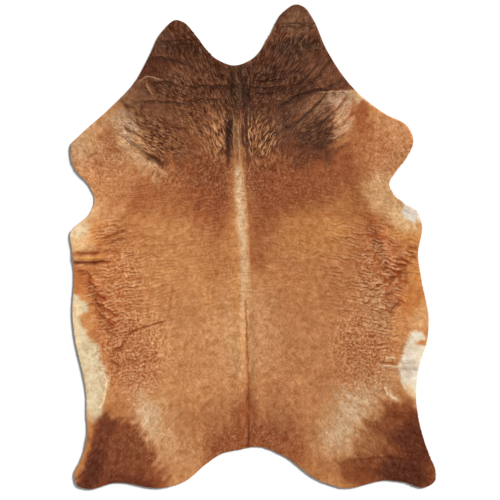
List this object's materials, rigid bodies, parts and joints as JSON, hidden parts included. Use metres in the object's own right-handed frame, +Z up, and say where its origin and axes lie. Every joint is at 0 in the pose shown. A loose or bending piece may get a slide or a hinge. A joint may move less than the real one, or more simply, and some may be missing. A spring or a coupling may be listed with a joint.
{
  "type": "cowhide rug",
  "caption": "Whole tanned cowhide laid flat as a floor rug, hair side up, with two neck flaps, leg ends, belly bulges and a curled cut edge.",
  "frame": {"origin": "on the floor, under the centre of the hide's bounding box", "axes": "+Z up out of the hair side, +Y along the spine towards the neck, +X to the right as seen from above"},
  "size_m": [1.66, 2.1997, 0.0193],
  "materials": {
    "hair_hide": "short glossy hair in brown, caramel and cream, suede flesh side"
  },
  "bodies": {
    "root": {"hide": "hair_hide"}
  },
  "joints": []
}
